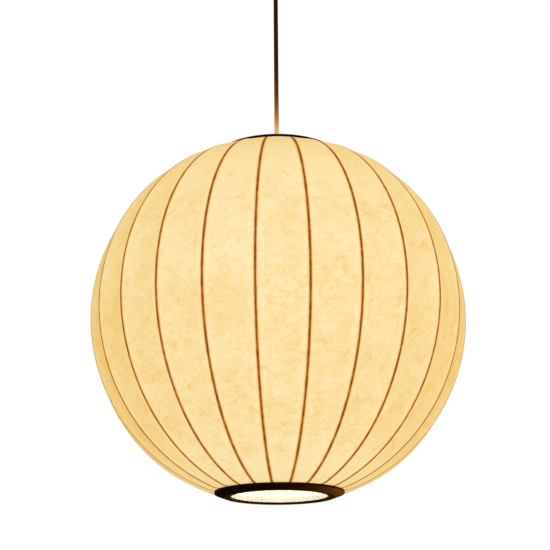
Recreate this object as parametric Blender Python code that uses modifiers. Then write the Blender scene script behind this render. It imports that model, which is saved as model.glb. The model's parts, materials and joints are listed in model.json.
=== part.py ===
"""Ribbed globe pendant lantern, hung from a ceiling bracket by its flex.

Metres, +Z up. The origin is on the ceiling, at the middle of the bracket's top face.
Everything hangs below it on the Z axis: canopy, flex, lampholder, carrier, globe and bulb.
"""
import math

import bmesh
import bpy
from mathutils import Matrix, Vector

# Fits
GAP = 0.0003                      # between pieces that touch
MERGE = 0.00001                   # welding distance of turned and mirrored meshes

# Globe: wire ribs under one skin
GLOBE_RADIUS = 0.240              # outside of the skin, over a rib
GLOBE_CENTRE_Z = -0.550
RIB_COUNT = 24
RIB_PITCH = 2 * math.pi / RIB_COUNT
RIB_WIRE_RADIUS = 0.0011
SKIN_THICKNESS = 0.0006
SKIN_RADIUS = GLOBE_RADIUS - SKIN_THICKNESS
RIB_RADIUS = SKIN_RADIUS - (RIB_WIRE_RADIUS + GAP) / math.cos(RIB_PITCH / 2)
MERIDIAN_STEPS = 14
TOP_FLATTENING = 0.0466           # how much the wires dip where they run into a ring
BOTTOM_FLATTENING = 0.0211
FLATTENING_POWER = 8

# End rings and the strip hoops inside them
RING_OUTER = 0.0812
RING_INNER = 0.0609
RING_HEIGHT = 0.0078
RING_CHAMFER = 0.0044             # height of the slope between the outer face and the wall
RING_FACE_OUTER = 0.0690          # outer radius of the flat outer face
RING_EDGE = 0.0005                # broken edges
RING_LIP = 0.0019
BOTTOM_RING_FACE = -0.2288        # outer face of each ring, from the globe's centre
TOP_RING_FACE = 0.2294
HOOP_THICKNESS = 0.0012
SKIN_EDGE_RADIUS = 0.0822
SKIN_TOP_EDGE = 0.2218            # the skin's rims lap the rings' walls, from the globe's centre
SKIN_BOTTOM_EDGE = -0.2216
RIB_BEND_RADIUS = 0.0775          # where a rib leaves its leg over each ring
RIB_BOTTOM_BEND_RADIUS = 0.0800

# Carrier: hub and three wire arms
HUB_TOP = 0.166                   # from the globe's centre
HUB_THICKNESS = 0.0016
HUB_BORE = 0.0205
HUB_OUTER = 0.0275
ARM_COUNT = 3
ARM_WIRE_RADIUS = 0.0015
ARM_HOOP_GAP = 0.0005             # the hoop's facets stand this far inside its true circle

# Flex
CORD_RADIUS = 0.0030
CORD_BORE = 0.0034
CORD_POINT_SPACING = 0.0135
CORD_TOP_Z = -0.070               # where the flex bends at the ceiling
CORD_BOTTOM_ABOVE_HUB = 0.044     # where it bends at the lampholder
CORD_CLEARANCE = 0.0014           # lets the end of the flex tip inside its bush
CORE_RADIUS = 0.0011

# Ceiling side
CANOPY_RADIUS = 0.046
CANOPY_RIM_Z = -0.0012
CANOPY_FACE_Z = -0.050
CANOPY_WALL = 0.0012
CANOPY_CORNER = 0.007
BRACKET_THICKNESS = 0.0016
BRACKET_WIDTH = 0.018
BRACKET_REACH = 0.0436            # outer face of each end tab
BRACKET_TAB = 0.014
BRACKET_HOLE_X = 0.028
SIDE_SCREW_Z = -0.0085

# Lampholder and bulb, from the hub's top
HOLDER_BODY_RADIUS = 0.0200
HOLDER_SHOULDER = 0.0225
BULB_RADIUS = 0.030
BULB_CENTRE = -0.078
BULB_WALL = 0.0008
BULB_NECK = 0.0118

CORD_BOTTOM_Z = GLOBE_CENTRE_Z + HUB_TOP + CORD_BOTTOM_ABOVE_HUB


# ---------------------------------------------------------------- scene and helpers

def clear_scene():
    for obj in list(bpy.data.objects):
        bpy.data.objects.remove(obj, do_unlink=True)


def make_collection(name):
    collection = bpy.data.collections.new(name)
    bpy.context.scene.collection.children.link(collection)
    return collection


def make_material(name, color, roughness, metallic=0.0, alpha=1.0):
    material = bpy.data.materials.new(name)
    material.use_nodes = True
    shader = material.node_tree.nodes["Principled BSDF"]
    shader.inputs["Base Color"].default_value = (*color, 1.0)
    shader.inputs["Roughness"].default_value = roughness
    shader.inputs["Metallic"].default_value = metallic
    shader.inputs["Alpha"].default_value = alpha
    return material


def make_empty(name, z, parent=None):
    """An empty on the Z axis at world height z, whose children hang from a joint."""
    empty = bpy.data.objects.new(name, None)
    empty.empty_display_size = 0.02
    PARTS.objects.link(empty)
    empty.parent = parent
    empty.location.z = z - (world_z(parent) if parent else 0.0)
    return empty


def world_z(empty):
    height = empty.location.z
    return height + (world_z(empty.parent) if empty.parent else 0.0)


def add_part(name, data, material, parent, z=0.0, turn=0.0):
    """Link a named object under its joint's empty, z above it, turned about Z."""
    obj = bpy.data.objects.new(name, data)
    PARTS.objects.link(obj)
    if not data.materials:
        data.materials.append(material)
    obj.parent = parent
    obj.location.z = z
    obj.rotation_euler.z = turn
    return obj


def turned_mesh(name, outline, closed):
    """Profile of a turned piece, (radius, z) pairs that run down its outer side."""
    vertices = [(radius, 0.0, z) for radius, z in outline]
    links = list(zip(range(len(outline)), range(1, len(outline))))
    if closed:
        links.append((len(outline) - 1, 0))
    edges = [(a, b) for a, b in links if outline[a][0] > 0 or outline[b][0] > 0]
    mesh = bpy.data.meshes.new(name)
    mesh.from_pydata(vertices, edges, [])
    return mesh


def turned_part(name, outline, material, parent, z=0.0, turn=0.0, steps=32, closed=True):
    """A turned piece. An outline with both ends on the axis needs no closing edge."""
    obj = add_part(name, turned_mesh(name, outline, closed), material, parent, z, turn)
    screw = obj.modifiers.new("Turn", "SCREW")
    screw.axis = "Z"
    screw.steps = steps
    screw.render_steps = steps
    screw.use_merge_vertices = True
    screw.merge_threshold = MERGE
    return obj


def wire_curve(name, points, radius, sides=6):
    """A round wire through the points, with closed ends."""
    curve = bpy.data.curves.new(name, "CURVE")
    curve.dimensions = "3D"
    spline = curve.splines.new("POLY")
    spline.points.add(len(points) - 1)
    for target, point in zip(spline.points, points):
        target.co = (*point, 1.0)
    curve.bevel_depth = radius
    curve.bevel_resolution = (sides - 4) // 2
    curve.use_fill_caps = True
    return curve


def cut_cylinder(obj, name, centre, radius, depth, axis="Z", parent=None):
    """Bore a round hole through a piece with a hidden cutter."""
    mesh = bpy.data.meshes.new(name)
    shape = bmesh.new()
    bmesh.ops.create_cone(shape, cap_ends=True, segments=16, radius1=radius, radius2=radius, depth=depth)
    if axis == "X":
        bmesh.ops.rotate(shape, verts=shape.verts, matrix=Matrix.Rotation(math.pi / 2, 3, "Y"))
    shape.to_mesh(mesh)
    shape.free()
    cutter = bpy.data.objects.new(name, mesh)
    CUTTERS.objects.link(cutter)
    cutter.parent = parent
    cutter.location = centre
    cutter.hide_render = True
    cutter.display_type = "WIRE"
    boolean = obj.modifiers.new(name, "BOOLEAN")
    boolean.operation = "DIFFERENCE"
    boolean.object = cutter


def box_part(name, size, centre, bevel, material, parent):
    mesh = bpy.data.meshes.new(name)
    shape = bmesh.new()
    bmesh.ops.create_cube(shape, size=1.0)
    bmesh.ops.scale(shape, verts=shape.verts, vec=size)
    shape.to_mesh(mesh)
    shape.free()
    obj = add_part(name, mesh, material, parent)
    obj.location = centre
    edge = obj.modifiers.new("Edges", "BEVEL")
    edge.width = bevel
    edge.segments = 1
    return obj


def arc(centre_r, centre_z, radius, start, end, count):
    """Points on an arc in the profile plane, angles in degrees from +r towards +z."""
    angles = [math.radians(start + (end - start) * i / count) for i in range(count + 1)]
    return [(centre_r + radius * math.cos(a), centre_z + radius * math.sin(a)) for a in angles]


def bezier(p0, p1, p2, p3, count):
    points = []
    for i in range(count + 1):
        t = i / count
        weights = ((1 - t) ** 3, 3 * t * (1 - t) ** 2, 3 * t * t * (1 - t), t ** 3)
        points.append(sum((Vector(p) * w for p, w in zip((p0, p1, p2, p3), weights)), Vector((0, 0))))
    return [tuple(point) for point in points]


# ---------------------------------------------------------------- globe shape

def meridian_point(radius, polar):
    """(r, z) on the globe's meridian, polar angle from the top, flattened towards the rings."""
    cosine = math.cos(polar)
    flattening = TOP_FLATTENING if cosine > 0 else BOTTOM_FLATTENING
    return radius * math.sin(polar), radius * cosine * (1 - flattening * cosine ** FLATTENING_POWER)


def meridian(radius):
    """Stations down the meridian, shared by ribs and skin so that their facets run together."""
    first = math.asin(SKIN_EDGE_RADIUS / SKIN_RADIUS)
    step = (math.pi - 2 * first) / MERIDIAN_STEPS
    return [meridian_point(radius, first + i * step) for i in range(MERIDIAN_STEPS + 1)]


def ring_outline():
    """Section of an end ring: z is 0 at its outer face and RING_HEIGHT towards the globe."""
    hoop_seat = RING_INNER + HOOP_THICKNESS + GAP
    return [
        (RING_OUTER - RING_EDGE, RING_HEIGHT),
        (RING_OUTER, RING_HEIGHT - RING_EDGE),
        (RING_OUTER, RING_CHAMFER),
        (RING_FACE_OUTER, 0.0),
        (RING_INNER + RING_EDGE, 0.0),
        (RING_INNER, RING_EDGE),
        (RING_INNER, RING_LIP),
        (hoop_seat, RING_LIP),
        (hoop_seat, RING_HEIGHT),
    ]


def hoop_outline():
    low, high = RING_LIP + GAP, RING_HEIGHT
    return [
        (RING_INNER + HOOP_THICKNESS, high),
        (RING_INNER + HOOP_THICKNESS, low),
        (RING_INNER, low),
        (RING_INNER, high),
    ]


def flipped(outline):
    """The same section turned over, still running down its outer side."""
    return [(radius, -z) for radius, z in reversed(outline)]


def make_end_ring(name, outline, face_z, parent):
    turned_part(name, outline, WOOD, parent, z=face_z, steps=40)


def make_hoop(name, outline, face_z, parent):
    turned_part(name, outline, ENAMEL, parent, z=face_z, steps=40)


def rib_points():
    """One rib: a leg over each ring, and the meridian between them."""
    seat = RIB_WIRE_RADIUS + GAP
    top_leg = TOP_RING_FACE - RING_HEIGHT - seat
    bottom_leg = BOTTOM_RING_FACE + RING_HEIGHT + seat
    inner_end = RING_INNER + HOOP_THICKNESS / 2
    points = [(inner_end, top_leg), (RIB_BEND_RADIUS, top_leg)]
    points += meridian(RIB_RADIUS)[:-1]
    points += [(RIB_BOTTOM_BEND_RADIUS, bottom_leg), (inner_end, bottom_leg)]
    return [(radius, 0.0, z) for radius, z in points]


def make_ribs(parent):
    curve = wire_curve("rib_wire", rib_points(), RIB_WIRE_RADIUS)
    for number in range(RIB_COUNT):
        turn = (number + 0.5) * RIB_PITCH
        add_part(f"rib_{number + 1:02d}", curve, WIRE, parent, turn=turn)


def make_skin(parent):
    """The paper skin: one faceted gore between each two ribs, open at both rings."""
    outline = [(SKIN_EDGE_RADIUS, SKIN_TOP_EDGE), *meridian(SKIN_RADIUS)[:-1],
               (SKIN_EDGE_RADIUS, SKIN_BOTTOM_EDGE)]
    skin = turned_part("paper_skin", outline, PAPER, parent, turn=RIB_PITCH / 2,
                       steps=RIB_COUNT, closed=False)
    shell = skin.modifiers.new("Thickness", "SOLIDIFY")
    shell.thickness = SKIN_THICKNESS
    shell.offset = 1.0
    shell.use_even_offset = True


# ---------------------------------------------------------------- carrier

def make_carrier(parent):
    hub = [
        (HUB_OUTER, HUB_TOP),
        (HUB_OUTER, HUB_TOP - HUB_THICKNESS),
        (HUB_BORE, HUB_TOP - HUB_THICKNESS),
        (HUB_BORE, HUB_TOP),
    ]
    turned_part("carrier_hub", hub, ENAMEL, parent, steps=36)
    hoop_end = (RING_INNER - ARM_HOOP_GAP, TOP_RING_FACE - RING_HEIGHT + 0.0024)
    hub_end = (HUB_OUTER + GAP, HUB_TOP - HUB_THICKNESS / 2)
    path = bezier(hoop_end, (0.036, hoop_end[1]), (0.048, hub_end[1]), hub_end, 12)
    curve = wire_curve("carrier_arm", [(radius, 0.0, z) for radius, z in path], ARM_WIRE_RADIUS)
    for number in range(ARM_COUNT):
        turn = math.pi / 2 + number * 2 * math.pi / ARM_COUNT
        add_part(f"carrier_arm_{number + 1}", curve, ENAMEL, parent, turn=turn)


# ---------------------------------------------------------------- ceiling side

def make_bracket(parent):
    """A steel strap bent down at both ends, drawn as its side outline and extruded across."""
    reach, inside = BRACKET_REACH, BRACKET_REACH - BRACKET_THICKNESS
    outline = [
        (-reach, 0.0), (reach, 0.0), (reach, -BRACKET_TAB), (inside, -BRACKET_TAB),
        (inside, -BRACKET_THICKNESS), (-inside, -BRACKET_THICKNESS), (-inside, -BRACKET_TAB),
        (-reach, -BRACKET_TAB),
    ]
    mesh = bpy.data.meshes.new("ceiling_bracket")
    shape = bmesh.new()
    face = shape.faces.new([shape.verts.new((x, -BRACKET_WIDTH / 2, z)) for x, z in outline])
    body = bmesh.ops.extrude_face_region(shape, geom=[face])
    moved = [item for item in body["geom"] if isinstance(item, bmesh.types.BMVert)]
    bmesh.ops.translate(shape, verts=moved, vec=(0.0, BRACKET_WIDTH, 0.0))
    bmesh.ops.recalc_face_normals(shape, faces=shape.faces)
    shape.to_mesh(mesh)
    shape.free()
    bracket = add_part("ceiling_bracket", mesh, STEEL, parent)
    for side in (-1, 1):
        cut_cylinder(bracket, "ceiling_screw_hole", (side * BRACKET_HOLE_X, 0, 0), 0.0022, 0.01)
        cut_cylinder(bracket, "side_screw_thread", (side * reach, 0, SIDE_SCREW_Z), 0.0018, 0.01, "X")


def make_canopy(parent):
    outer, inner = CANOPY_RADIUS, CANOPY_RADIUS - CANOPY_WALL
    corner_r, corner_z = outer - CANOPY_CORNER, CANOPY_FACE_Z + CANOPY_CORNER
    outline = [(outer, CANOPY_RIM_Z)]
    outline += arc(corner_r, corner_z, CANOPY_CORNER, 0, -90, 3)
    outline += [(0.0053, CANOPY_FACE_Z), (0.0053, CANOPY_FACE_Z + CANOPY_WALL)]
    outline += arc(corner_r, corner_z, CANOPY_CORNER - CANOPY_WALL, -90, 0, 3)
    outline += [(inner, CANOPY_RIM_Z)]
    canopy = turned_part("ceiling_canopy", outline, DARK_METAL, parent, steps=36)
    for side in (-1, 1):
        cut_cylinder(canopy, "canopy_screw_hole", (side * outer, 0, SIDE_SCREW_Z), 0.0018, 0.008, "X")


def make_side_screws(parent):
    """Pan-head screws along X that hold the canopy to the bracket's tabs."""
    outline = [
        (0.0, 0.0024), (0.0018, 0.0022), (0.0032, 0.0012), (0.0032, 0.0),
        (0.0015, 0.0), (0.0015, -0.0072), (0.0, -0.0072),
    ]
    for name, side in (("canopy_screw_left", -1), ("canopy_screw_right", 1)):
        screw = turned_part(name, outline, STEEL, parent, steps=16, closed=False)
        screw.rotation_euler.y = side * math.pi / 2
        screw.location = (side * (CANOPY_RADIUS + GAP), 0.0, SIDE_SCREW_Z)


def hex_nut(name, across_flats, bore, thickness, centre_z, material, parent):
    mesh = bpy.data.meshes.new(name)
    shape = bmesh.new()
    corner = across_flats / 2 / math.cos(math.pi / 6)
    bmesh.ops.create_cone(
        shape, cap_ends=True, segments=6, radius1=corner, radius2=corner, depth=thickness)
    shape.to_mesh(mesh)
    shape.free()
    nut = add_part(name, mesh, material, parent, z=centre_z)
    cut_cylinder(nut, name + "_bore", (0, 0, centre_z), bore, thickness * 3, parent=parent)


def make_terminal_block(parent):
    height = 0.014
    top = -BRACKET_THICKNESS - GAP
    box_part("terminal_block", (0.020, 0.012, height), (0, 0, top - height / 2), 0.0008,
             WHITE_PLASTIC, parent)


def make_canopy_grip(parent):
    """Strain relief: a stem through the canopy and a tapered nose with a flared mouth."""
    mouth = CORD_TOP_Z - 0.008
    outline = [
        (0.0050, -0.0415), (0.0050, CANOPY_FACE_Z - GAP), (0.0090, CANOPY_FACE_Z - GAP),
        (0.0090, -0.0535), (0.0084, -0.0630), (0.0076, mouth), (0.0066, mouth),
        (CORD_BORE, CORD_TOP_Z), (CORD_BORE, -0.0415),
    ]
    turned_part("canopy_cord_grip", outline, BLACK_PLASTIC, parent, steps=24)
    hex_nut("canopy_grip_nut", 0.014, 0.0053, 0.004, CANOPY_FACE_Z + CANOPY_WALL + GAP + 0.002,
            BLACK_PLASTIC, parent)


def make_cord_end(name, low, high, parent):
    """A short end of the flex, held inside a grip."""
    points = [(0, 0, low + (high - low) * i / 3) for i in range(4)]
    add_part(name, wire_curve(name, points, CORD_RADIUS, sides=8), CORD, parent)


def make_cores(prefix, low, high, spread_low, spread_high, parent):
    """The live and neutral cores between the flex's sheath and its terminals."""
    for label, side, material in (("live", -1, BROWN_CORE), ("neutral", 1, BLUE_CORE)):
        path = bezier((side * spread_low, low), (side * spread_low, low + (high - low) / 3),
                      (side * spread_high, high - (high - low) / 3), (side * spread_high, high), 5)
        name = f"{prefix}_{label}"
        add_part(name, wire_curve(name, [(x, 0.0, z) for x, z in path], CORE_RADIUS), material, parent)


# ---------------------------------------------------------------- flex

def make_flex(parent):
    """The taut run of flex between its two bends."""
    length = CORD_TOP_Z - CORD_BOTTOM_Z
    count = round(length / CORD_POINT_SPACING)
    points = [(0, 0, -length * i / count) for i in range(count + 1)]
    add_part("pendant_cord", wire_curve("pendant_cord", points, CORD_RADIUS, sides=8), CORD, parent)


# ---------------------------------------------------------------- lampholder, from the hub's top

def make_holder(parent, base):
    grip_mouth = CORD_BOTTOM_ABOVE_HUB + 0.006
    grip = [
        (0.0060, grip_mouth), (0.0085, 0.0395), (0.0085, 0.034 + GAP), (0.0067, 0.034 + GAP),
        (0.0067, 0.0260), (CORD_BORE, 0.0260), (CORD_BORE, CORD_BOTTOM_ABOVE_HUB), (0.0050, grip_mouth),
    ]
    turned_part("holder_cord_grip", grip, BLACK_PLASTIC, parent, base, steps=24)
    hex_nut("holder_grip_nut", 0.017, 0.0070, 0.0036, base + 0.0291, BLACK_PLASTIC, parent)

    cap = [
        (0.0110, 0.0340), (0.0195, 0.0290), (HOLDER_SHOULDER, 0.0220), (HOLDER_SHOULDER, 0.0123),
        (0.0200, 0.0123), (0.0200, 0.0210), (0.0175, 0.0262), (0.0105, 0.0312), (0.0070, 0.0312),
        (0.0070, 0.0340),
    ]
    turned_part("holder_cap", cap, BLACK_PLASTIC, parent, base, steps=24)

    body = [
        (HOLDER_SHOULDER, 0.0120), (HOLDER_SHOULDER, GAP), (HOLDER_BODY_RADIUS, GAP),
        (HOLDER_BODY_RADIUS, -0.0240), (0.0190, -0.0260), (0.0170, -0.0260), (0.0165, -0.0250),
        (0.0165, 0.0120),
    ]
    turned_part("holder_body", body, BLACK_PLASTIC, parent, base, steps=24)

    insulator = [(0.0, 0.0112), (0.0160, 0.0112), (0.0160, 0.0040), (0.0, 0.0040)]
    turned_part("holder_insulator", insulator, PORCELAIN, parent, base, steps=24, closed=False)

    shell = [(0.0143, 0.0036), (0.0143, -0.0215), (0.0148, -0.0220), (0.0142, -0.0222), (0.0137, -0.0213),
             (0.0137, 0.0036)]
    turned_part("holder_screw_shell", shell, BRASS, parent, base, steps=24)

    contact = [(0.0, 0.0037), (0.0038, 0.0037), (0.0038, 0.0029), (0.0022, 0.0021), (0.0, 0.0021)]
    turned_part("holder_contact", contact, BRASS, parent, base, steps=16, closed=False)

    make_cord_end("cord_end_lower", base + 0.0180, base + CORD_BOTTOM_ABOVE_HUB - CORD_CLEARANCE, parent)
    make_cores("core_lower", base + 0.0112 + GAP, base + 0.0180 - GAP, 0.0060, 0.0013, parent)


def make_shade_ring(parent):
    """The threaded ring that clamps the hub up against the lampholder's shoulder."""
    top = -HUB_THICKNESS - GAP
    outline = [
        (0.0245, top), (0.0250, top - 0.0005), (0.0250, top - 0.0075), (0.0242, top - 0.0083),
        (HOLDER_BODY_RADIUS + GAP, top - 0.0083), (HOLDER_BODY_RADIUS + GAP, top),
    ]
    turned_part("shade_ring", outline, BLACK_PLASTIC, parent, steps=24)


# ---------------------------------------------------------------- bulb, from the hub's top

def bulb_base_outline():
    """The rolled screw base: six crests down a thin metal tube."""
    outline = []
    crests, pitch, top = 5, 0.0040, -0.0030
    for turn in range(crests):
        outline.append((0.0124, top - turn * pitch))
        outline.append((0.0131, top - (turn + 0.5) * pitch))
    outline.append((0.0124, top - crests * pitch))
    outline.append((BULB_NECK + GAP, top - crests * pitch))
    outline.append((BULB_NECK + GAP, top))
    return outline


def bulb_glass_outline():
    """A pear-shaped envelope, open at the neck."""
    neck = [(BULB_NECK, -0.0060), (BULB_NECK, -0.0235)]
    shoulder = bezier((BULB_NECK, -0.0260), (0.0130, -0.0420), (0.0265, -0.0500), (0.0288, -0.0695), 4)
    belly = arc(0.0, BULB_CENTRE, BULB_RADIUS, 5, -90, 6)
    outer = neck + shoulder + belly
    outer[-1] = (0.0, outer[-1][1])
    inner = [(max(radius - BULB_WALL, 0.0), z) for radius, z in neck + shoulder]
    inner += arc(0.0, BULB_CENTRE, BULB_RADIUS - BULB_WALL, 5, -90, 6)
    inner[-1] = (0.0, inner[-1][1])
    return outer + inner[::-1]


def make_bulb(parent):
    turned_part("bulb_glass", bulb_glass_outline(), GLASS, parent, steps=20)
    turned_part("bulb_screw_base", bulb_base_outline(), BASE_METAL, parent, steps=20)
    tip = [
        (0.0, 0.0018), (0.0045, 0.0012), (0.0050, -0.0004), (0.0115, -0.0028),
        (0.0115, -0.0050), (0.0, -0.0050),
    ]
    turned_part("bulb_contact_tip", tip, BRASS, parent, steps=20, closed=False)
    stem = [(0.0, -0.0054), (0.0060, -0.0054), (0.0060, -0.0280), (0.0026, -0.0400), (0.0026, -0.0880),
            (0.0, -0.0890)]
    turned_part("bulb_stem", stem, PORCELAIN, parent, steps=16, closed=False)


# ---------------------------------------------------------------- assembly

def build():
    hub_z = GLOBE_CENTRE_Z + HUB_TOP
    ceiling = make_empty("ceiling", 0.0)
    swing = make_empty("cord_swing_axis", CORD_TOP_Z, ceiling)
    sway = make_empty("lantern_sway_axis", CORD_BOTTOM_Z, swing)
    unscrew = make_empty("shade_ring_axis", hub_z, sway)
    globe = make_empty("lantern_turn_axis", GLOBE_CENTRE_Z, unscrew)
    bulb = make_empty("bulb_axis", hub_z, sway)

    make_bracket(ceiling)
    make_canopy(ceiling)
    make_side_screws(ceiling)
    make_terminal_block(ceiling)
    make_canopy_grip(ceiling)
    make_cord_end("cord_end_upper", CORD_TOP_Z + CORD_CLEARANCE, -0.0360, ceiling)
    make_cores("core_upper", -0.0360 + GAP, -0.0162, 0.0013, 0.0045, ceiling)

    make_flex(swing)
    make_holder(sway, -CORD_BOTTOM_ABOVE_HUB)
    make_shade_ring(unscrew)

    make_carrier(globe)
    make_end_ring("top_ring", flipped(ring_outline()), TOP_RING_FACE, globe)
    make_end_ring("bottom_ring", ring_outline(), BOTTOM_RING_FACE, globe)
    make_hoop("top_hoop", flipped(hoop_outline()), TOP_RING_FACE, globe)
    make_hoop("bottom_hoop", hoop_outline(), BOTTOM_RING_FACE, globe)
    make_ribs(globe)
    make_skin(globe)

    make_bulb(bulb)


clear_scene()
PARTS = make_collection("globe_pendant_lantern")
CUTTERS = make_collection("cutters")

PAPER = make_material("paper", (0.93, 0.78, 0.48), 0.75)
WIRE = make_material("rib_wire", (0.20, 0.09, 0.03), 0.55, 0.4)
WOOD = make_material("dark_wood", (0.020, 0.011, 0.007), 0.35)
ENAMEL = make_material("enamel", (0.86, 0.82, 0.72), 0.40)
STEEL = make_material("zinc_steel", (0.60, 0.60, 0.62), 0.35, 1.0)
DARK_METAL = make_material("dark_metal", (0.030, 0.020, 0.015), 0.40, 0.5)
BLACK_PLASTIC = make_material("black_plastic", (0.018, 0.016, 0.015), 0.45)
WHITE_PLASTIC = make_material("white_plastic", (0.85, 0.85, 0.82), 0.50)
PORCELAIN = make_material("porcelain", (0.88, 0.87, 0.84), 0.25)
BRASS = make_material("brass", (0.80, 0.58, 0.25), 0.30, 1.0)
BASE_METAL = make_material("bulb_base_metal", (0.75, 0.74, 0.70), 0.28, 1.0)
GLASS = make_material("frosted_glass", (0.96, 0.92, 0.82), 0.45, 0.0, 0.6)
CORD = make_material("flex_sheath", (0.060, 0.022, 0.010), 0.60)
BROWN_CORE = make_material("brown_core", (0.16, 0.06, 0.02), 0.50)
BLUE_CORE = make_material("blue_core", (0.03, 0.10, 0.45), 0.50)

build()
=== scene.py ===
"""Looks of the ribbed globe pendant lantern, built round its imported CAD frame.

Metres, +Z up, in the frame's own coordinates. The globe's axis is the Z axis.
"""

import json
import math

import bmesh
import bpy
from mathutils import Matrix, Vector


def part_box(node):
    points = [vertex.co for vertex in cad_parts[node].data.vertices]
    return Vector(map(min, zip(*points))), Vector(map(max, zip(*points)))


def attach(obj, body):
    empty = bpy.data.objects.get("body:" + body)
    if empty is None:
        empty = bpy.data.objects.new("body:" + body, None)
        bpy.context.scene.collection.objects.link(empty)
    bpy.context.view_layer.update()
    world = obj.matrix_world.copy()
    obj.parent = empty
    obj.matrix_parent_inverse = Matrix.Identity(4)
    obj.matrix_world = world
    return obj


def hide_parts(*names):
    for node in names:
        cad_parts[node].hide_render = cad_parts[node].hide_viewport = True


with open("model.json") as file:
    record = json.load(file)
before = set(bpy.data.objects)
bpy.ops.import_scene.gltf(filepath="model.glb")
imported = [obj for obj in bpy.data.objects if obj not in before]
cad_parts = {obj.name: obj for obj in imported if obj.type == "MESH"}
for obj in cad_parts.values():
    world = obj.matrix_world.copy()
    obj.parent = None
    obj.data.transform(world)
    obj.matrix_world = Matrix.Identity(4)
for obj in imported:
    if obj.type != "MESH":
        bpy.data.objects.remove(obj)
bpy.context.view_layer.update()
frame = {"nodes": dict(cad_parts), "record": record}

# ---------------------------------------------------------------- sizes, from the frame

RIB_COUNT = 24
RIB_PITCH = 2 * math.pi / RIB_COUNT
GLOBE_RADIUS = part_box("paper_skin")[1].x / math.cos(RIB_PITCH / 2)
BOTTOM_RING_LOW, BOTTOM_RING_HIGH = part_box("bottom_ring")
TOP_RING_LOW, TOP_RING_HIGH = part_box("top_ring")
BOTTOM_RING_DEPTH = 0.2288      # of the bottom ring's face below the globe's centre
GLOBE_CENTRE_Z = BOTTOM_RING_LOW.z + BOTTOM_RING_DEPTH
HUB_TOP_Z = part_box("carrier_hub")[1].z
CORD_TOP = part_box("pendant_cord")[1].z
CORD_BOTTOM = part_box("pendant_cord")[0].z

SKIN_THICKNESS = 0.0006         # of the CAD skin
PAPER_THICKNESS = 0.0004        # of the sheet made here, from the same outer face
SKIN_RADIUS = GLOBE_RADIUS - SKIN_THICKNESS
RIB_WIRE_RADIUS = 0.0011
RIB_GAP = 0.00031               # between a wire and the CAD skin's inner face
RIB_RADIUS = SKIN_RADIUS - RIB_WIRE_RADIUS - RIB_GAP
TOP_FLATTENING = 0.0466         # share of the radius that the globe loses at its top
BOTTOM_FLATTENING = 0.0211      # and at its bottom
FLATTENING_POWER = 8            # higher keeps the loss nearer to the rings
RING_OUTER = BOTTOM_RING_HIGH.x
RING_INNER = 0.0609
RING_HEIGHT = BOTTOM_RING_HIGH.z - BOTTOM_RING_LOW.z
RING_CHAMFER = 0.0044           # rise of the face's sloped part
RING_FACE_OUTER = 0.0690        # where the flat part of the face ends
RING_LIP = 0.0019               # wood below the hoop's edge
HOOP_THICKNESS = 0.0012
CORD_RADIUS = 0.0030

# ---------------------------------------------------------------- camera

CAMERA_DISTANCE = 1.798     # from the globe's centre
CAMERA_ELEVATION = math.radians(-15.16)
CAMERA_AZIMUTH = math.radians(-1.39)
AIM_UP = math.radians(1.841)
AIM_LEFT = math.radians(0.116)
CAMERA_ROLL = math.radians(-0.45)
LENS = 91.1


def make_camera():
    """Below the globe and looking up, aimed a little above its centre."""
    centre = Vector((0, 0, GLOBE_CENTRE_Z))
    back = Vector((math.sin(CAMERA_AZIMUTH) * math.cos(CAMERA_ELEVATION),
                   -math.cos(CAMERA_AZIMUTH) * math.cos(CAMERA_ELEVATION),
                   math.sin(CAMERA_ELEVATION)))
    right = Vector((math.cos(CAMERA_AZIMUTH), math.sin(CAMERA_AZIMUTH), 0))
    ahead = -back
    up = right.cross(ahead)
    ahead = ahead * math.cos(AIM_UP) + up * math.sin(AIM_UP)
    up = right.cross(ahead)
    ahead = ahead * math.cos(AIM_LEFT) - right * math.sin(AIM_LEFT)
    right = ahead.cross(up)
    up = right.cross(ahead)
    rolled_right = right * math.cos(CAMERA_ROLL) + up * math.sin(CAMERA_ROLL)
    rolled_up = up * math.cos(CAMERA_ROLL) - right * math.sin(CAMERA_ROLL)
    data = bpy.data.cameras.new("camera")
    data.lens = LENS
    data.sensor_width = 36
    camera = bpy.data.objects.new("camera", data)
    bpy.context.scene.collection.objects.link(camera)
    axes = Matrix((rolled_right, rolled_up, -ahead)).transposed().to_4x4()
    camera.matrix_world = Matrix.Translation(centre + back * CAMERA_DISTANCE) @ axes
    bpy.context.scene.camera = camera


# ---------------------------------------------------------------- node helpers

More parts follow.
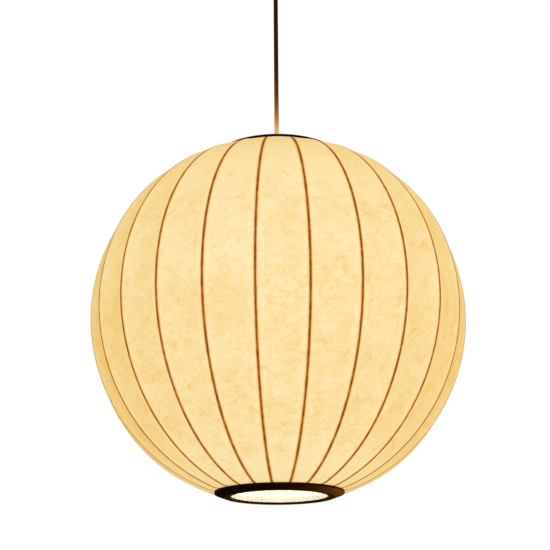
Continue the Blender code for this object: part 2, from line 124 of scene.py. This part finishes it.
class Nodes:
    """A short way to wire one material's node tree."""

    def __init__(self, name):
        self.material = bpy.data.materials.new(name)
        self.material.use_nodes = True
        self.tree = self.material.node_tree
        self.shader = self.tree.nodes["Principled BSDF"]
        self.place = self.tree.nodes.new("ShaderNodeTexCoord").outputs["Object"]

    def put(self, socket, value):
        """Link a socket, or set a plain number or colour."""
        if isinstance(value, bpy.types.NodeSocket):
            self.tree.links.new(value, socket)
        elif isinstance(value, (tuple, list)) and len(value) == 3 and socket.type == "RGBA":
            socket.default_value = (*value, 1.0)
        else:
            socket.default_value = value

    def set(self, name, value):
        self.put(self.shader.inputs[name], value)

    def math(self, operation, a, b=0.0, clamp=False):
        node = self.tree.nodes.new("ShaderNodeMath")
        node.operation = operation
        node.use_clamp = clamp
        self.put(node.inputs[0], a)
        self.put(node.inputs[1], b)
        return node.outputs[0]

    def ramp(self, value, low, high, to_low=0.0, to_high=1.0):
        """value from low..high to to_low..to_high, smooth and clamped."""
        node = self.tree.nodes.new("ShaderNodeMapRange")
        node.interpolation_type = "SMOOTHSTEP"
        self.put(node.inputs["Value"], value)
        self.put(node.inputs["From Min"], low)
        self.put(node.inputs["From Max"], high)
        self.put(node.inputs["To Min"], to_low)
        self.put(node.inputs["To Max"], to_high)
        return node.outputs["Result"]

    def mix(self, amount, a, b):
        node = self.tree.nodes.new("ShaderNodeMix")
        node.data_type = "RGBA"
        self.put(node.inputs["Factor"], amount)
        self.put(node.inputs[6], a)
        self.put(node.inputs[7], b)
        return node.outputs[2]

    def mapped(self, scale=(1, 1, 1), turn=(0, 0, 0)):
        """The object's own coordinates, turned by degrees and scaled."""
        node = self.tree.nodes.new("ShaderNodeMapping")
        self.put(node.inputs["Vector"], self.place)
        node.inputs["Scale"].default_value = scale
        node.inputs["Rotation"].default_value = [math.radians(a) for a in turn]
        return node.outputs["Vector"]

    def noise(self, scale, detail=2.0, roughness=0.5, distortion=0.0, vector=None):
        node = self.tree.nodes.new("ShaderNodeTexNoise")
        self.put(node.inputs["Vector"], vector or self.place)
        node.inputs["Scale"].default_value = scale
        node.inputs["Detail"].default_value = detail
        node.inputs["Roughness"].default_value = roughness
        node.inputs["Distortion"].default_value = distortion
        return node.outputs["Fac"]

    def axes(self):
        """The object's own x, y and z."""
        node = self.tree.nodes.new("ShaderNodeSeparateXYZ")
        self.put(node.inputs[0], self.place)
        return node.outputs[0], node.outputs[1], node.outputs[2]

    def bump(self, height, distance, strength=1.0):
        node = self.tree.nodes.new("ShaderNodeBump")
        self.put(node.inputs["Height"], height)
        node.inputs["Distance"].default_value = distance
        node.inputs["Strength"].default_value = strength
        self.set("Normal", node.outputs["Normal"])


def plain_surface(name, color, roughness, metallic=0.0, grain=900.0, spread=0.12, depth=0.00005,
                  dark=0.75, blotch=60.0):
    """A worn, slightly uneven surface: colour, roughness and bump all vary."""
    n = Nodes(name)
    fine = n.noise(grain, 3.0)
    broad = n.noise(blotch, 3.0, 0.6)
    n.set("Base Color", n.mix(n.ramp(broad, 0.35, 0.65), tuple(c * dark for c in color), color))
    n.set("Roughness", n.math("ADD", n.ramp(fine, 0.3, 0.7, -spread, spread), roughness, clamp=True))
    n.set("Metallic", metallic)
    n.bump(fine, depth)
    return n.material


# ---------------------------------------------------------------- materials

BULB_GLOW = (1.0, 0.80, 0.50)
# PAPER_LIGHT and PAPER_DEEP colour a glow painted as emission on the paper; the next two are the orange
# fringe and the dark core of the painted shadow that each wire casts along its rib.
PAPER_LIGHT = (0.955, 0.890, 0.705)
PAPER_DEEP = (0.890, 0.655, 0.245)
RIB_SHADOW_FRINGE = (0.900, 0.450, 0.055)
RIB_SHADOW = (0.215, 0.040, 0.001)
PAPER_TINT = (0.971, 0.902, 0.715)     # of the clear size over the paper: deeper where seen aslant
WHOLE_GORES = 101.0                    # keeps the count of gores above zero


def rib_distance(n):
    """Distance across the skin to the nearest rib, in metres; ribs stand at half a pitch."""
    x, y, _ = n.axes()
    angle = n.math("ARCTAN2", y, x)
    turns = n.math("ADD", n.math("DIVIDE", angle, RIB_PITCH), WHOLE_GORES)
    off = n.math("ABSOLUTE", n.math("SUBTRACT", n.math("FRACT", turns), 0.5))
    radius = n.math("SQRT", n.math("ADD", n.math("MULTIPLY", x, x), n.math("MULTIPLY", y, y)))
    return n.math("MULTIPLY", n.math("MULTIPLY", off, RIB_PITCH), radius)


def drawn_out(n, direction, across, along):
    """The object's own coordinates, scaled to draw a pattern out along one direction."""
    turn = Vector(direction).to_track_quat("X", "Z").inverted()
    turned = n.tree.nodes.new("ShaderNodeMapping")
    turned.inputs["Rotation"].default_value = turn.to_euler()
    n.put(turned.inputs["Vector"], n.place)
    scaled = n.tree.nodes.new("ShaderNodeMapping")
    scaled.inputs["Scale"].default_value = (along, across, across)
    n.put(scaled.inputs["Vector"], turned.outputs["Vector"])
    return scaled.outputs["Vector"]


def streaks(n, direction, across, along, low, high):
    """Fibres that lie one way."""
    return n.ramp(n.noise(1.0, 2.5, 0.55, 0.35, drawn_out(n, direction, across, along)), low, high)


def creases(n, direction, keep):
    """A few long thin creases: contour lines of a drawn-out noise, kept only in patches."""
    field = n.noise(1.0, 1.5, 0.5, 0.4, drawn_out(n, direction, 34.0, 9.0))
    line = n.ramp(n.math("ABSOLUTE", n.math("SUBTRACT", field, 0.5)), 0.0, 0.022, 1.0, 0.0)
    patch = n.ramp(n.noise(1.0, 2.0, 0.5, 0.0, drawn_out(n, direction, 21.0, 25.0)), keep, keep + 0.10)
    return n.math("MULTIPLY", line, patch)


def total(n, *weighted):
    """Sum of (value, weight) pairs."""
    result = 0.0
    for value, weight in weighted:
        result = n.math("ADD", n.math("MULTIPLY", value, weight), result)
    return result


FIBRE_WAYS = ((0.80, -0.25, 0.55), (0.95, 0.20, 0.10), (0.55, 0.45, 0.75), (-0.70, 0.30, 0.60),
              (0.15, 0.90, 0.45), (-0.20, 0.95, -0.35))
CREASE_KEEPS = (0.50, 0.54, 0.53, 0.56)     # for the first four ways: higher keeps fewer creases


def paper_pattern(n):
    """How deep the paper's yellow is, 0 to 1, and the bump height of its fibres."""
    cloud = n.ramp(n.noise(15.0, 3.0, 0.6, 0.5), 0.34, 0.68)
    mottle = n.ramp(n.noise(70.0, 3.0, 0.65, 0.3), 0.34, 0.70)
    grain = n.ramp(n.noise(380.0, 3.0, 0.75), 0.30, 0.72)
    broad = total(n, *((streaks(n, way, 75.0, 12.0, 0.46, 0.76), 0.5) for way in FIBRE_WAYS))
    fine = total(n, *((streaks(n, way, 260.0, 17.0, 0.52, 0.76), 0.6) for way in FIBRE_WAYS))
    crease = total(n, *((creases(n, way, keep), 1.0) for way, keep in zip(FIBRE_WAYS, CREASE_KEEPS)))
    depth = total(n, (cloud, 0.17), (mottle, 0.10), (grain, 0.26), (broad, 0.22), (fine, 0.36),
                  (crease, 0.26))
    height = total(n, (fine, 0.5), (crease, 0.3), (grain, 0.3))
    return depth, height


BELT_RISE = 0.024           # of a paler belt of painted light above the globe's centre


def paper_outside():
    """Fibrous paper glowing by painted emission, with the painted shadows of the wires along the ribs."""
    n = Nodes("paper_outside")
    depth, height = paper_pattern(n)
    z = n.axes()[2]
    near = rib_distance(n)
    wander = n.noise(90.0, 3.0, 0.6)
    # Painted shadow: the dark core of each wire's shadow seen through the paper, its edge wandering a
    # little.
    core_edge = n.ramp(wander, 0.3, 0.7, 0.00100, 0.00150)
    core_start = n.math("SUBTRACT", core_edge, 0.0008)
    core = n.ramp(near, core_start, n.math("ADD", core_edge, 0.0010), 1.0, 0.0)
    # Painted shadow: the orange fringe round that core.
    shadow_fringe = n.ramp(near, 0.0010, 0.0040, 1.0, 0.0)
    # Painted light: paler strips beside the ribs.
    beside_rib_light = n.ramp(near, 0.0030, 0.0110, 1.0, 0.0)
    # Painted light: a brighter belt just above the centre, and paler paper towards the top and the
    # bottom.
    off_belt = n.math("ABSOLUTE", n.math("SUBTRACT", z, GLOBE_CENTRE_Z + BELT_RISE))
    belt = n.ramp(off_belt, 0.0, 0.060, 1.0, 0.0)
    upper = n.ramp(z, GLOBE_CENTRE_Z - 0.1 * GLOBE_RADIUS, GLOBE_CENTRE_Z + 1.05 * GLOBE_RADIUS)
    lower = n.ramp(z, GLOBE_CENTRE_Z - 0.62 * GLOBE_RADIUS, GLOBE_CENTRE_Z - GLOBE_RADIUS)
    bright = total(n, (beside_rib_light, 0.14), (belt, 0.12), (upper, 0.56), (lower, 0.46))
    depth = n.math("SUBTRACT", depth, bright, clamp=True)
    paper = n.mix(depth, PAPER_LIGHT, PAPER_DEEP)
    paper = n.mix(n.math("MULTIPLY", shadow_fringe, 0.80), paper, RIB_SHADOW_FRINGE)
    shadow = n.mix(n.ramp(n.noise(110.0, 3.0, 0.6), 0.35, 0.7), RIB_SHADOW, (0.40, 0.110, 0.004))
    glow = n.mix(core, paper, shadow)
    n.set("Emission Color", glow)
    n.set("Emission Strength", 1.0)
    reflect = n.mix(depth, (0.36, 0.28, 0.16), (0.28, 0.19, 0.09))
    # Painted shadow: the base colour too is darker along each rib's core.
    n.set("Base Color", n.mix(core, reflect, (0.06, 0.025, 0.008)))
    n.set("Roughness", n.ramp(height, 0.0, 1.0, 0.62, 0.80))
    n.set("Specular IOR Level", 0.25)
    n.set("Coat Weight", 1.0)
    n.set("Coat Roughness", 0.6)
    n.set("Coat IOR", 1.05)
    n.set("Coat Tint", PAPER_TINT)
    n.bump(height, 0.00035, 0.6)
    return n.material


def paper_inside():
    """The bright inner face, next to the bulb: its brightness is a glow painted as emission."""
    n = Nodes("paper_inside")
    depth, height = paper_pattern(n)
    z = n.axes()[2]
    # Painted light: the glow turns warmer and a little dimmer towards the bottom.
    low = n.ramp(z, GLOBE_CENTRE_Z - 0.185, GLOBE_CENTRE_Z - 0.225)
    glow = n.mix(low, (0.88, 0.87, 0.78), (0.86, 0.78, 0.60))
    n.set("Emission Color", n.mix(n.math("MULTIPLY", depth, 0.3), glow, (0.84, 0.72, 0.50)))
    n.set("Emission Strength", 1.0)
    n.set("Base Color", n.mix(depth, (0.110, 0.100, 0.080), (0.085, 0.070, 0.050)))
    n.set("Roughness", n.ramp(height, 0.0, 1.0, 0.7, 0.85))
    n.bump(height, 0.0003, 0.5)
    return n.material


def dark_wood():
    """Near-black stained wood under satin lacquer, its grain running round the turning."""
    n = Nodes("dark_wood")
    rings = n.noise(26.0, 5.0, 0.62, 1.5, n.mapped((1.0, 5.0, 8.0), (0, 0, 24)))
    pores = n.noise(420.0, 3.0, 0.7, 0.0, n.mapped((0.12, 1.0, 1.0), (0, 0, 24)))
    color = n.mix(n.ramp(rings, 0.38, 0.66), (0.0120, 0.0034, 0.0012), (0.0320, 0.0092, 0.0022))
    n.set("Base Color", n.mix(n.ramp(pores, 0.58, 0.75), color, (0.0078, 0.0024, 0.0011)))
    n.set("Roughness", n.ramp(pores, 0.3, 0.7, 0.50, 0.56))
    n.set("Specular IOR Level", 0.10)
    n.set("Specular Tint", (1.0, 0.36, 0.10, 1.0))
    n.bump(pores, 0.00008, 0.2)
    return n.material


def rib_steel():
    """Steel wire under the cream size that was sprayed over it with the paper, with a painted glow for
    the bulb's light on it.
    """
    n = Nodes("rib_steel")
    worn = n.ramp(n.noise(160.0, 4.0, 0.65), 0.52, 0.72)
    n.set("Base Color", n.mix(worn, (0.80, 0.73, 0.58), (0.52, 0.40, 0.25)))
    # Painted light: the wires glow as if lit by the bulb, less where the size is worn.
    n.set("Emission Color", n.mix(worn, (0.95, 0.88, 0.66), (0.82, 0.68, 0.44)))
    n.set("Emission Strength", 0.6)
    n.set("Roughness", n.ramp(worn, 0.0, 1.0, 0.45, 0.75))
    n.bump(n.noise(900.0, 3.0), 0.00006, 0.7)
    return n.material


LAMP_REACH = 0.033          # how far up the flex the painted light from the open top carries
LAMP_FADE = 1.28            # how sharply that light dies away
ROOM_GLOW = 0.038           # painted room light all along the flex
BRAID_STRANDS = 8.0         # each way round the flex
BRAID_CLIMB = 130.0         # braid repeats in a metre


def flex_sheath(name):
    """Braided brown flex; the warm light on it above the lantern's open top is a painted glow."""
    n = Nodes(name)
    x, y, z = n.axes()
    angle = n.math("DIVIDE", n.math("ARCTAN2", y, x), 2 * math.pi)
    climb = n.math("MULTIPLY", z, BRAID_CLIMB)
    left, right = (
        n.math("SINE", n.math("MULTIPLY", n.math(way, n.math("MULTIPLY", angle, BRAID_STRANDS), climb),
                              2 * math.pi))
        for way in ("ADD", "SUBTRACT"))
    braid = n.ramp(n.math("MULTIPLY", left, right), -0.9, 0.9)
    n.set("Base Color", n.mix(braid, (0.006, 0.0020, 0.0008), (0.016, 0.0050, 0.0016)))
    n.set("Roughness", n.ramp(braid, 0.0, 1.0, 0.85, 0.65))
    n.set("Specular IOR Level", 0.1)
    # Painted light: a warm glow that fades up the flex from the open top, plus a faint painted room light
    # all along it.
    rise = n.math("DIVIDE", n.math("SUBTRACT", z, TOP_RING_HIGH.z + LAMP_REACH), LAMP_REACH)
    fallen = n.math("POWER", n.math("MAXIMUM", rise, 0.0), LAMP_FADE)
    lit = n.math("EXPONENT", n.math("MULTIPLY", fallen, -1.0))
    warmth = n.math("MULTIPLY", lit, lit)
    n.set("Emission Color", n.mix(warmth, (0.72, 0.180, 0.020), (0.76, 0.42, 0.110)))
    weave = n.ramp(braid, 0.0, 1.0, 0.92, 1.0)
    n.set("Emission Strength", n.math("MULTIPLY", n.math("ADD", lit, ROOM_GLOW), weave))
    n.bump(braid, 0.00015, 0.5)
    return n.material


def frosted_bulb():
    """Frosted glass that glows, most of all towards its lower end."""
    n = Nodes("frosted_bulb")
    z = n.axes()[2]
    lit = n.ramp(z, HUB_TOP_Z - 0.110, HUB_TOP_Z - 0.030, 1.0, 0.45)
    mist = n.noise(300.0, 3.0)
    n.set("Base Color", n.mix(n.ramp(mist, 0.3, 0.7), (0.95, 0.93, 0.88), (0.88, 0.85, 0.78)))
    n.set("Roughness", n.ramp(mist, 0.3, 0.7, 0.35, 0.5))
    n.set("Emission Color", n.mix(n.ramp(mist, 0.3, 0.7), BULB_GLOW, (1.0, 0.86, 0.60)))
    n.set("Emission Strength", n.math("MULTIPLY", lit, 6.0))
    n.bump(mist, 0.00005)
    return n.material


def brushed(name, color, roughness):
    """Turned metal: fine lines round the axis."""
    n = Nodes(name)
    lines = n.noise(900.0, 2.0, 0.6, 0.0, n.mapped((0.08, 0.08, 1.0)))
    blotch = n.noise(70.0, 3.0)
    n.set("Base Color", n.mix(n.ramp(blotch, 0.3, 0.7), tuple(c * 0.8 for c in color), color))
    n.set("Metallic", 1.0)
    n.set("Roughness", n.math("ADD", n.ramp(lines, 0.3, 0.7, -0.08, 0.1), roughness))
    n.bump(lines, 0.00004)
    return n.material


# ---------------------------------------------------------------- geometry helpers

def link(obj, materials, body, node):
    """Link a new piece, give it its materials and body, and let it stand for its CAD node."""
    bpy.context.scene.collection.objects.link(obj)
    for material in materials:
        obj.data.materials.append(material)
    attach(obj, body)
    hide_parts(node)
    return obj


SHARP_ANGLE = math.radians(40)


def lathe(name, outline, steps, base_z):
    """A closed ring of mesh from the (radius, z) corners of its section."""
    shape = bmesh.new()
    rows = []
    for radius, z in outline:
        row = []
        for step in range(steps):
            angle = 2 * math.pi * step / steps
            row.append(shape.verts.new((radius * math.cos(angle), radius * math.sin(angle), base_z + z)))
        rows.append(row)
    for upper, lower in zip(rows, rows[1:] + rows[:1]):
        for step in range(steps):
            following = (step + 1) % steps
            shape.faces.new((upper[step], lower[step], lower[following], upper[following]))
    mesh = bpy.data.meshes.new(name)
    bmesh.ops.recalc_face_normals(shape, faces=shape.faces)
    shape.to_mesh(mesh)
    shape.free()
    mesh.shade_smooth()
    mesh.set_sharp_from_angle(angle=SHARP_ANGLE)
    return bpy.data.objects.new(name, mesh)


def arc(centre_r, centre_z, radius, start, end, count):
    """Points on an arc between two angles in degrees."""
    angles = [math.radians(start + (end - start) * i / count) for i in range(count + 1)]
    return [(centre_r + radius * math.cos(a), centre_z + radius * math.sin(a)) for a in angles]


def bezier(p0, p1, p2, p3, count):
    """Points on a cubic curve, both ends included."""
    points = []
    for i in range(count + 1):
        t = i / count
        weights = ((1 - t) ** 3, 3 * t * (1 - t) ** 2, 3 * t * t * (1 - t), t ** 3)
        points.append(sum((Vector(p) * w for p, w in zip((p0, p1, p2, p3), weights)), Vector((0, 0))))
    return [tuple(point) for point in points]


def wire(name, points, radius, sides):
    """A round bar along a line of points."""
    curve = bpy.data.curves.new(name, "CURVE")
    curve.dimensions = "3D"
    spline = curve.splines.new("POLY")
    spline.points.add(len(points) - 1)
    for target, point in zip(spline.points, points):
        target.co = (*point, 1.0)
    curve.bevel_depth = radius
    curve.bevel_resolution = (sides - 4) // 2
    curve.use_fill_caps = True
    spline.use_smooth = True
    return bpy.data.objects.new(name, curve)


# ---------------------------------------------------------------- globe

def meridian_point(radius, polar):
    """(r, z) on the globe, polar angle from its top, flattened towards the rings."""
    cosine = math.cos(polar)
    flattening = TOP_FLATTENING if cosine > 0 else BOTTOM_FLATTENING
    z = radius * cosine * (1 - flattening * cosine ** FLATTENING_POWER)
    return radius * math.sin(polar), GLOBE_CENTRE_Z + z


def polar_range(edge_radius):
    """Polar angles at which the globe is edge_radius wide, near its top and near its bottom."""
    first = math.asin(edge_radius / SKIN_RADIUS)
    return first, math.pi - first


SEAM_GAP = 0.0003           # where pieces are welded or glued together
RIB_STEPS = 60
RIB_BEND_RADIUS = 0.0900    # where a wire leaves the meridian for its leg over the ring


def rib_polyline():
    """A leg over each ring and the meridian between them."""
    seat = RIB_WIRE_RADIUS + SEAM_GAP
    top_leg, bottom_leg = TOP_RING_LOW.z - seat, BOTTOM_RING_HIGH.z + seat
    first, last = polar_range(RIB_BEND_RADIUS)
    inner_end = RING_INNER + HOOP_THICKNESS / 2
    top = meridian_point(RIB_RADIUS, first)
    bottom = meridian_point(RIB_RADIUS, last)
    start = bezier((0.0740, top_leg), (0.0790, top_leg), (0.0840, top[1] + 0.0018), top, 6)
    end = bezier(bottom, (0.0850, bottom[1] - 0.0016), (0.0835, bottom_leg), (0.0790, bottom_leg), 6)
    middle = [meridian_point(RIB_RADIUS, first + (last - first) * i / RIB_STEPS)
              for i in range(1, RIB_STEPS)]
    return [(inner_end, top_leg)] + start + middle + end + [(inner_end, bottom_leg)]


def make_ribs(material):
    """The bent wires, the first at half a pitch from the X axis."""
    line = rib_polyline()
    for number in range(RIB_COUNT):
        angle = (number + 0.5) * RIB_PITCH
        points = [(r * math.cos(angle), r * math.sin(angle), z) for r, z in line]
        label = f"{number + 1:02d}"
        rib = wire("rib_wire_" + label, points, RIB_WIRE_RADIUS, 8)
        link(rib, [material], "lantern", "rib_" + label)


SKIN_ROWS = 110
NEAR_RIB_OFFSETS = (0.0, 0.00055, 0.00105, 0.0016, 0.0024, 0.0036)   # metres across from a rib
PANEL_SHARES = (0.16, 0.36, 0.58, 0.80, 1.0)    # of the way from there to mid-gore
PANEL_HOLLOW = 0.0022       # how far the middle of a gore sinks below the straight line
SHOULDER_RADIUS = 0.0822    # of the meridian's two ends
EDGE_RADIUS = 0.0814        # of the paper's rims, lapped over the rings' walls
TOP_EDGE = 0.2213           # heights of the rims from the globe's centre
BOTTOM_EDGE = -0.2218


def skin_radius_at(radius, angle, polar):
    """Radius of the skin at an angle from the nearest rib."""
    half = RIB_PITCH / 2
    straight = radius * math.cos(half) / math.cos(half - angle)
    sink = PANEL_HOLLOW * (1 - (1 - angle / half) ** 2) * math.sin(polar) ** 2
    return straight - sink


def skin_angles(radius):
    """Angles from one rib to the next for the columns of one gore."""
    half = RIB_PITCH / 2
    near = [offset / radius for offset in NEAR_RIB_OFFSETS]
    side = near + [near[-1] + (half - near[-1]) * share for share in PANEL_SHARES]
    return side + [RIB_PITCH - angle for angle in reversed(side[1:-1])]


def make_skin(outside, inside):
    """One sheet of paper, drawn tight over the wires and hollow between them."""
    first, last = polar_range(SHOULDER_RADIUS)
    stations = [(EDGE_RADIUS, TOP_EDGE + GLOBE_CENTRE_Z, 0.0)]
    for row in range(SKIN_ROWS + 1):
        polar = first + (last - first) * row / SKIN_ROWS
        stations.append((*meridian_point(GLOBE_RADIUS, polar), polar))
    stations[-1] = (EDGE_RADIUS, BOTTOM_EDGE + GLOBE_CENTRE_Z, 0.0)
    shape = bmesh.new()
    rows = []
    for radius, z, polar in stations:
        line = []
        for rib in range(RIB_COUNT):
            for angle in skin_angles(radius):
                r = skin_radius_at(radius, min(angle, RIB_PITCH - angle), polar) if polar else radius
                turn = (rib + 0.5) * RIB_PITCH + angle
                line.append(shape.verts.new((r * math.cos(turn), r * math.sin(turn), z)))
        rows.append(line)
    count = len(rows[0])
    for upper, lower in zip(rows, rows[1:]):
        for i in range(count):
            k = (i + 1) % count
            shape.faces.new((upper[i], lower[i], lower[k], upper[k]))
    mesh = bpy.data.meshes.new("paper_globe")
    shape.to_mesh(mesh)
    shape.free()
    mesh.shade_smooth()
    skin = bpy.data.objects.new("paper_globe", mesh)
    shell = skin.modifiers.new("Thickness", "SOLIDIFY")
    shell.thickness = PAPER_THICKNESS
    shell.offset = -1.0
    shell.material_offset = 1
    shell.material_offset_rim = 0
    link(skin, [outside, inside], "lantern", "paper_skin")


# ---------------------------------------------------------------- rings

RING_STEPS = 160
EDGE_ROUND = 0.0006         # of the wood's top and inner edges
RIM_ROUND = 0.0005          # where the wall meets the slope
FACE_ROUND = 0.0020         # where the slope meets the flat


def ring_outline(towards):
    """Section of an end ring from its outer face; towards is +1 if the globe is above that face."""
    seat = RING_INNER + HOOP_THICKNESS + SEAM_GAP
    slope = math.degrees(math.atan2(RING_CHAMFER, RING_OUTER - RING_FACE_OUTER))
    outline = [(seat, RING_HEIGHT), (RING_OUTER - EDGE_ROUND, RING_HEIGHT)]
    outline += arc(RING_OUTER - EDGE_ROUND, RING_HEIGHT - EDGE_ROUND, EDGE_ROUND, 80, 0, 4)
    outline += arc(RING_OUTER - RIM_ROUND, RING_CHAMFER + 0.0004, RIM_ROUND, 0, slope - 90, 4)
    outline += arc(RING_FACE_OUTER, FACE_ROUND, FACE_ROUND, slope - 90, -90, 5)
    outline += arc(RING_INNER + EDGE_ROUND, EDGE_ROUND, EDGE_ROUND, -90, -180, 4)
    outline += [(RING_INNER, RING_LIP), (seat, RING_LIP)]
    return [(r, towards * z) for r, z in outline]


def hoop_outline(towards):
    """Section of the strip hoop inside an end ring."""
    low, high = RING_LIP + SEAM_GAP, RING_HEIGHT - 0.0001
    outline = [(RING_INNER + HOOP_THICKNESS, high), (RING_INNER + HOOP_THICKNESS, low),
               (RING_INNER, low), (RING_INNER, high)]
    return [(r, towards * z) for r, z in outline]


def make_rings(wood, enamel):
    """Both end rings with their hoops; returns the collection that the glint lights."""
    rim = bpy.data.collections.new("rim_lit")
    for label, face, towards in (("bottom", BOTTOM_RING_LOW.z, 1), ("top", TOP_RING_HIGH.z, -1)):
        ring = lathe(f"wood_ring_{label}", ring_outline(towards), RING_STEPS, face)
        link(ring, [wood], "lantern", f"{label}_ring")
        rim.objects.link(ring)
        hoop = lathe(f"strip_hoop_{label}", hoop_outline(towards), RING_STEPS, face)
        link(hoop, [enamel], "lantern", f"{label}_hoop")
    return rim


# ---------------------------------------------------------------- flex

FLEX_STEPS = 22


def make_flex(material):
    """The taut run between the ceiling grip and the lampholder grip."""
    points = [(0, 0, CORD_TOP + (CORD_BOTTOM - CORD_TOP) * i / FLEX_STEPS) for i in range(FLEX_STEPS + 1)]
    flex = wire("flex_run", points, CORD_RADIUS, 16)
    link(flex, [material], "cord", "pendant_cord")


# ---------------------------------------------------------------- stage

FLOOR_Z = -3.8          # the floor of a tall room, clear of a camera that looks straight up
FLOOR_HALF = 60.0       # far enough for its edge to meet the white behind it


def make_floor(paint):
    """A plain pale floor, left out of reflections and bounced light.

    Returns the collection that the floor's own light is linked to.
    """
    mesh = bpy.data.meshes.new("floor")
    shape = bmesh.new()
    bmesh.ops.create_grid(shape, x_segments=1, y_segments=1, size=FLOOR_HALF)
    bmesh.ops.translate(shape, verts=shape.verts, vec=(0, 0, FLOOR_Z))
    shape.to_mesh(mesh)
    shape.free()
    floor = bpy.data.objects.new("floor", mesh)
    bpy.context.scene.collection.objects.link(floor)
    floor.data.materials.append(paint)
    floor.visible_glossy = False
    floor.visible_diffuse = False
    lit = bpy.data.collections.new("floor_lit")
    lit.objects.link(floor)
    return lit


def add_light(name, kind, power, color=(1.0, 1.0, 1.0), place=(0, 0, 0)):
    """A light of any kind, not yet aimed."""
    data = bpy.data.lights.new(name, kind)
    data.energy = power
    data.color = color
    light = bpy.data.objects.new(name, data)
    bpy.context.scene.collection.objects.link(light)
    light.location = place
    return light


def area_light(name, place, target, size, power, color):
    """A square light that faces a target and isn't seen itself."""
    light = add_light(name, "AREA", power, color, place)
    light.data.size = size
    light.visible_camera = False
    light.rotation_mode = "QUATERNION"
    light.rotation_quaternion = (Vector(target) - Vector(place)).to_track_quat("-Z", "Y")
    return light


ROOM_LIGHT = (0.050, 0.024, 0.014)      # dim and brown; only the backdrop itself is white
KEY_PLACE = (0.5, -3.3, -1.0)
FILL_PLACE = (1.6, 3.0, 0.6)
GLINT_PLACE = (1.1, 1.5, -1.60)
SOFTBOX = 2.4                           # side of the key and fill lights
LAMP_DROP = 0.160                       # below the hub's top: in the clear air under the bulb


def make_room():
    """White to the camera, dim and brown as a light."""
    world = bpy.data.worlds.new("studio")
    bpy.context.scene.world = world
    world.use_nodes = True
    tree = world.node_tree
    background = tree.nodes["Background"]
    path = tree.nodes.new("ShaderNodeLightPath")
    seen = tree.nodes.new("ShaderNodeMix")
    seen.data_type = "RGBA"
    tree.links.new(path.outputs["Is Camera Ray"], seen.inputs["Factor"])
    seen.inputs[6].default_value = (*ROOM_LIGHT, 1.0)
    seen.inputs[7].default_value = (1.0, 1.0, 1.0, 1.0)
    tree.links.new(seen.outputs[2], background.inputs["Color"])


def make_lights(rim, floor_lit):
    """Soft studio light; the glint falls only on the end rings, the wash only on the floor."""
    middle = (0, 0, GLOBE_CENTRE_Z)
    ring_middle = (0, 0, BOTTOM_RING_LOW.z)
    area_light("key", KEY_PLACE, middle, SOFTBOX, 29, (1.0, 0.98, 0.95))
    area_light("fill_back", FILL_PLACE, middle, SOFTBOX, 14, (1.0, 0.98, 0.96))
    wash = add_light("floor_wash", "SUN", 3.3)
    wash.data.angle = 1.2
    wash.light_linking.receiver_collection = floor_lit
    glint = area_light("ring_glint", GLINT_PLACE, ring_middle, 0.5, 27.0, (1.0, 0.36, 0.04))
    glint.light_linking.receiver_collection = rim
    lamp = add_light("lamp", "POINT", 3.6, (1.0, 0.89, 0.70), (0, 0, HUB_TOP_Z - LAMP_DROP))
    lamp.data.shadow_soft_size = 0.03


def set_view():
    """Colours are shown as they are, with no film curve."""
    settings = bpy.context.scene.view_settings
    settings.view_transform = "Standard"
    settings.look = "None"


# ---------------------------------------------------------------- build

make_camera()
sheath = flex_sheath("flex_braid")
make_flex(sheath)

steel = rib_steel()
wood = dark_wood()
enamel = plain_surface("cream_enamel", (0.85, 0.82, 0.73), 0.60, grain=700.0, spread=0.05,
                       depth=0.00001, dark=0.96)
make_ribs(steel)
make_skin(paper_outside(), paper_inside())
rim = make_rings(wood, enamel)

CAD_MATERIALS = {
    "zinc_steel": brushed("zinc_steel_look", (0.58, 0.58, 0.60), 0.34),
    "dark_metal": plain_surface("dark_canopy_paint", (0.022, 0.013, 0.009), 0.36, metallic=0.2,
                                grain=1400.0, spread=0.06, depth=0.00004),
    "white_plastic": plain_surface("white_plastic_look", (0.80, 0.80, 0.77), 0.5, spread=0.06),
    "black_plastic": plain_surface("black_plastic_look", (0.018, 0.015, 0.013), 0.42,
                                   grain=1200.0, spread=0.08),
    "flex_sheath": sheath,
    "brown_core": plain_surface("brown_core_look", (0.15, 0.05, 0.02), 0.5),
    "blue_core": plain_surface("blue_core_look", (0.03, 0.09, 0.40), 0.5),
    "porcelain": plain_surface("porcelain_look", (0.86, 0.85, 0.81), 0.22, grain=500.0,
                               spread=0.05, depth=0.00003, dark=0.96),
    "brass": brushed("brass_look", (0.78, 0.55, 0.24), 0.3),
    "bulb_base_metal": brushed("bulb_base_look", (0.74, 0.73, 0.70), 0.3),
    "frosted_glass": frosted_bulb(),
    "enamel": enamel,
}


def dress_cad_nodes():
    """Give each CAD node the look of its slot; a node that a piece here stands for isn't shown."""
    slot_of = {part["node"]: part["material_slot"] for part in frame["record"]["subparts"]}
    for node, obj in frame["nodes"].items():
        look = CAD_MATERIALS.get(slot_of[node])
        if look:
            obj.data.materials.clear()
            obj.data.materials.append(look)


dress_cad_nodes()
floor_paint = plain_surface("floor_paint", (0.86, 0.86, 0.85), 0.7, grain=300.0, spread=0.05,
                            depth=0.0001, dark=0.97, blotch=1.5)
floor_lit = make_floor(floor_paint)
make_room()
make_lights(rim, floor_lit)
set_view()
